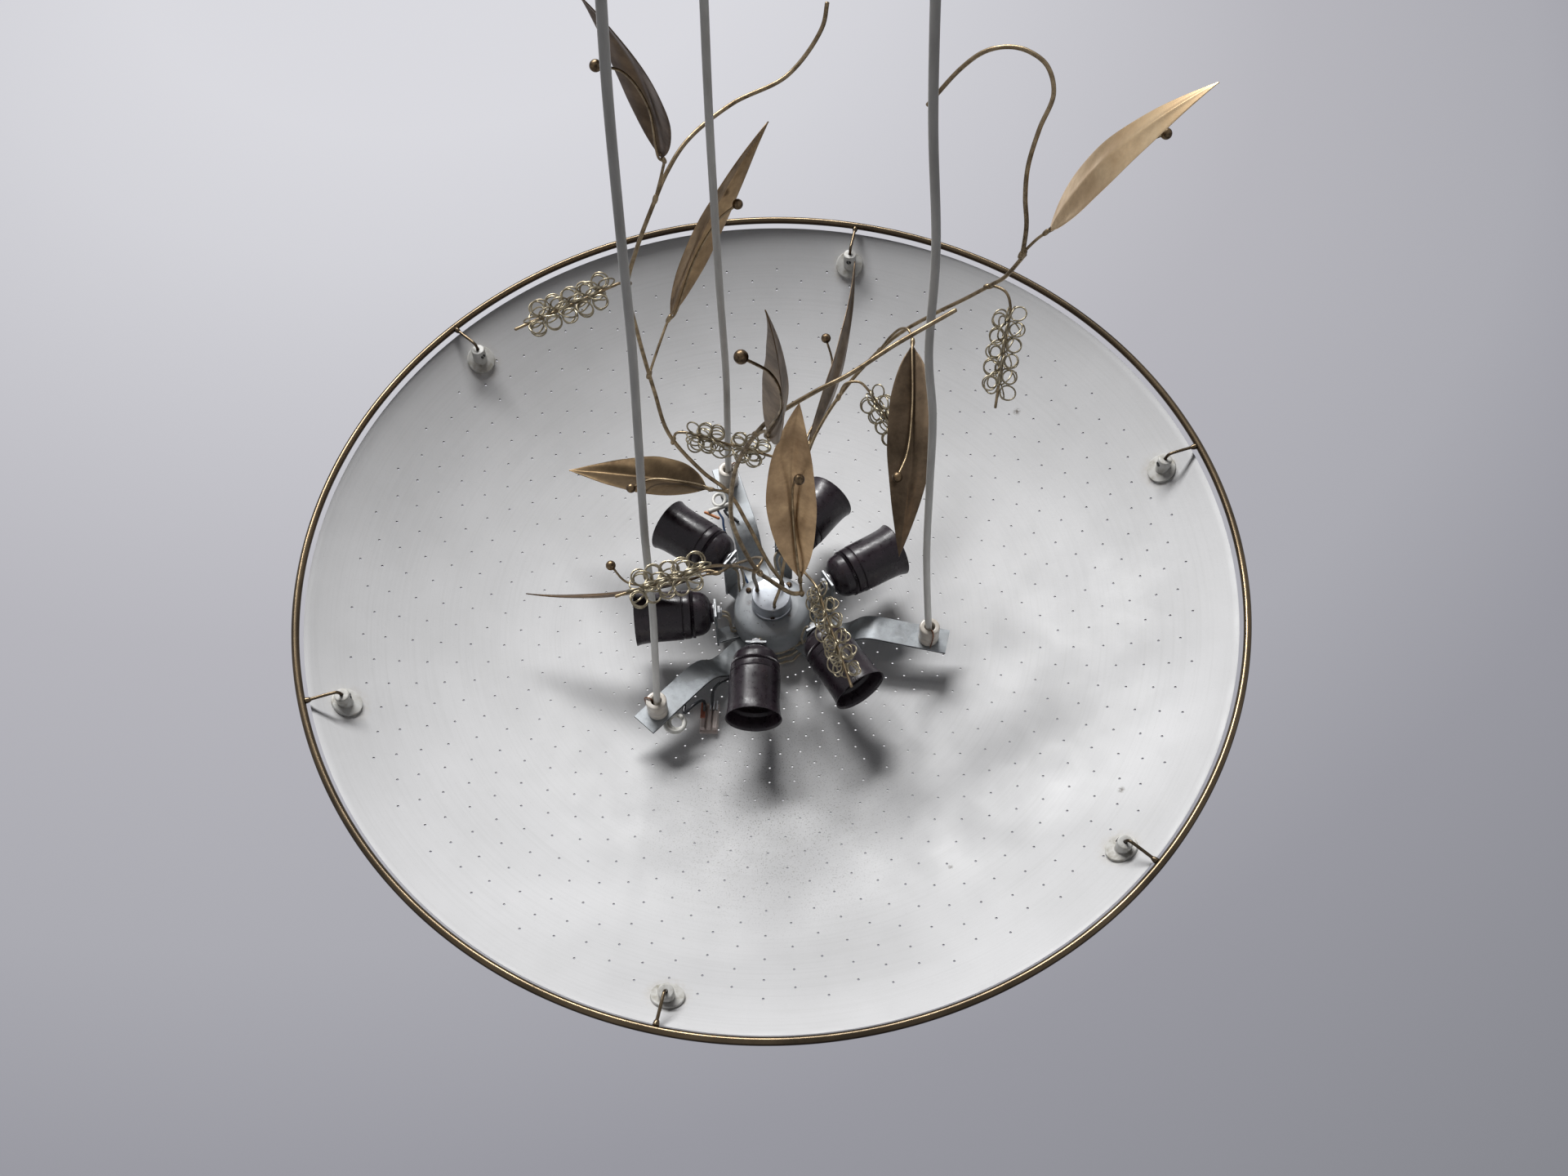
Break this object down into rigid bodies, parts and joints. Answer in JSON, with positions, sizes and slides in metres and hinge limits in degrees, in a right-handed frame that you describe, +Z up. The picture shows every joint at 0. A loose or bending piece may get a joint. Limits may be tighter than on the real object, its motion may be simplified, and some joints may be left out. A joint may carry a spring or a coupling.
{
  "type": "ceiling lamp",
  "caption": "Hanging lamp: a wide pinholed metal bowl on cords, lampholders on a central hub, and brass sprigs of leaves and coiled catkins standing above it.",
  "frame": {"origin": "middle of the ceiling plate's top face, where it meets the ceiling", "axes": "+Z up along the lamp's axis, +X to the right and +Y to the back as seen from the picture's side"},
  "size_m": [0.7558, 0.7558, 0.7922],
  "materials": {
    "canopy_paint": "satin white paint",
    "cord_pvc": "grey-white sheath, a little glossy",
    "porcelain": "glazed cream porcelain",
    "galvanised": "dull mottled zinc coat",
    "hub_paint": "satin blue-grey paint",
    "steel": "zinc plated",
    "bakelite": "black-brown pressed resin, satin",
    "bowl_paint": "matt pale grey enamel, sooty in places",
    "dark_brass": "tarnished",
    "leaf_brass": "satin, browned"
  },
  "bodies": {
    "frame": {"ceiling_plate": "steel", "canopy": "canopy_paint", "canopy_nut": "steel", "cord_left": "cord_pvc", "cord_right": "cord_pvc", "cord_back": "cord_pvc", "cord_grip_left": "steel", "cord_grip_right": "steel", "cord_grip_back": "steel", "arm_left": "galvanised", "arm_right": "galvanised", "arm_back": "galvanised", "bushing_left": "porcelain", "bushing_right": "porcelain", "bushing_back": "porcelain", "centre_rod": "steel", "rod_nut": "steel", "socket_plate": "galvanised", "hub_cup": "hub_paint", "hub_cap": "hub_paint", "finial": "hub_paint", "holder_back_1": "bakelite", "holder_back_2": "bakelite", "holder_back_3": "bakelite", "holder_back_4": "bakelite", "holder_back_5": "bakelite", "holder_back_6": "bakelite"},
    "dish": {"bowl": "bowl_paint", "post_1": "bowl_paint", "post_2": "bowl_paint", "post_3": "bowl_paint", "post_4": "bowl_paint", "post_5": "bowl_paint", "post_6": "bowl_paint"},
    "rim_ring": {"ring": "dark_brass"},
    "shell_1": {"holder_shell_1": "bakelite"},
    "shell_2": {"holder_shell_2": "bakelite"},
    "shell_3": {"holder_shell_3": "bakelite"},
    "shell_4": {"holder_shell_4": "bakelite"},
    "shell_5": {"holder_shell_5": "bakelite"},
    "shell_6": {"holder_shell_6": "bakelite"},
    "spray_a": {"sprig_a": "dark_brass", "leaf_1": "leaf_brass", "leaf_2": "leaf_brass", "leaf_3": "leaf_brass", "catkin_1": "dark_brass", "catkin_2": "dark_brass"},
    "spray_b": {"sprig_b": "dark_brass", "leaf_4": "leaf_brass", "leaf_5": "leaf_brass", "leaf_6": "leaf_brass", "catkin_3": "dark_brass"},
    "spray_c": {"sprig_c": "dark_brass", "leaf_7": "leaf_brass", "leaf_8": "leaf_brass", "leaf_9": "leaf_brass", "catkin_4": "dark_brass", "catkin_5": "dark_brass", "catkin_6": "dark_brass"}
  },
  "joints": [
    {"name": "dish_turn", "type": "hinge", "parent": "frame", "child": "dish", "pos_m": [0, 0, -0.7747], "axis": [0, 0, 1], "continuous": true},
    {"name": "ring_lift", "type": "slide", "parent": "dish", "child": "rim_ring", "axis": [0, 0, 1], "range_m": [0, 0.012]},
    {"name": "shell_1_unscrew", "type": "hinge", "parent": "frame", "child": "shell_1", "pos_m": [-0.01309, -0.04722, -0.725], "axis": [-0.0436, -0.999, 0], "range_deg": [0, 360]},
    {"name": "shell_2_unscrew", "type": "hinge", "parent": "frame", "child": "shell_2", "pos_m": [0.03554, -0.03373, -0.725], "axis": [0.5225, -0.8526, 0], "range_deg": [0, 360]},
    {"name": "shell_3_unscrew", "type": "hinge", "parent": "frame", "child": "shell_3", "pos_m": [0.04744, 0.01227, -0.725], "axis": [0.8788, 0.4772, 0], "range_deg": [0, 360]},
    {"name": "shell_4_unscrew", "type": "hinge", "parent": "frame", "child": "shell_4", "pos_m": [0.01144, 0.04765, -0.725], "axis": [0.6225, 0.7826, 0], "range_deg": [0, 360]},
    {"name": "shell_5_unscrew", "type": "hinge", "parent": "frame", "child": "shell_5", "pos_m": [-0.03434, 0.03495, -0.725], "axis": [-0.8039, 0.5948, 0], "range_deg": [0, 360]},
    {"name": "shell_6_unscrew", "type": "hinge", "parent": "frame", "child": "shell_6", "pos_m": [-0.04698, -0.01392, -0.725], "axis": [-0.9981, -0.061, 0], "range_deg": [0, 360]},
    {"name": "sprig_a_swivel", "type": "hinge", "parent": "frame", "child": "spray_a", "pos_m": [0.00921, 0.008, -0.721], "axis": [0, 0, 1], "range_deg": [-4, 4]},
    {"name": "sprig_b_swivel", "type": "hinge", "parent": "frame", "child": "spray_b", "pos_m": [-0.01154, 0.00397, -0.721], "axis": [0, 0, 1], "range_deg": [-4, 3]},
    {"name": "sprig_c_swivel", "type": "hinge", "parent": "frame", "child": "spray_c", "pos_m": [0.00233, -0.01198, -0.721], "axis": [0, 0, 1], "range_deg": [-4, 4]}
  ]
}
